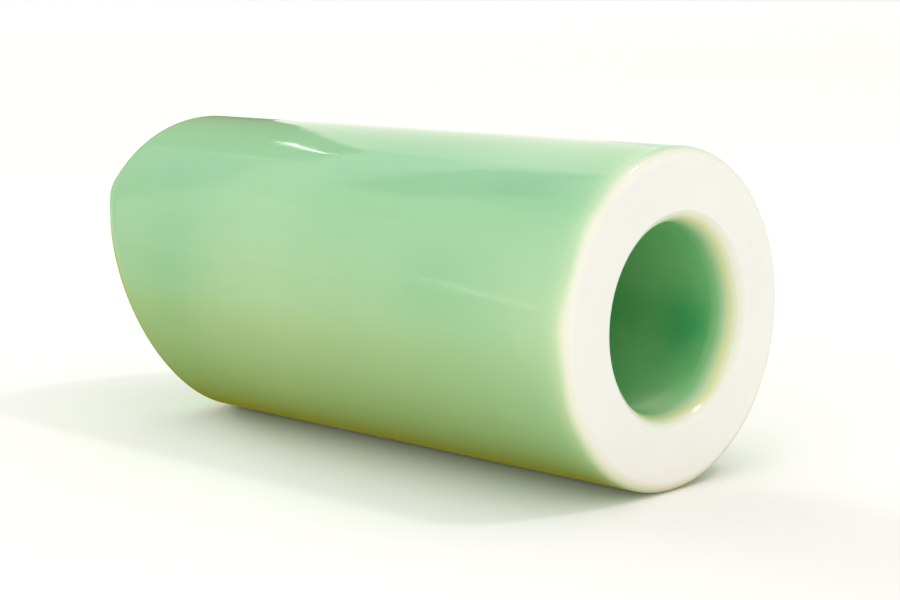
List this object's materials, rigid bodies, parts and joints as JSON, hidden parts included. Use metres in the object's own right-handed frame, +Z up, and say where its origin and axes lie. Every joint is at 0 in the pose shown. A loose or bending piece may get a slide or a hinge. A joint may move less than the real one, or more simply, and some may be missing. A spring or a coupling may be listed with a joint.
{
  "type": "guitar slide",
  "caption": "Glazed porcelain tube slide, worn on a finger to glide along guitar strings, with a flat bare foot ring and a knuckle-relief cut end.",
  "frame": {"origin": "middle of the slide's length on the bore axis, which is the place of mount finger_bore", "axes": "+X along the bore axis towards the flat bare foot ring, +Z up as the slide lies on its side, +Y across it"},
  "size_m": [0.0694, 0.032, 0.032],
  "materials": {
    "porcelain": "bare fired porcelain, satin",
    "barrel_glaze": "glossy celadon glaze, paler where it is thin",
    "bore_glaze": "glossy celadon glaze, pooled a little darker inside the bore"
  },
  "bodies": {
    "root": {"porcelain_body": "porcelain", "barrel_glaze": "barrel_glaze", "bore_glaze": "bore_glaze"}
  },
  "joints": []
}
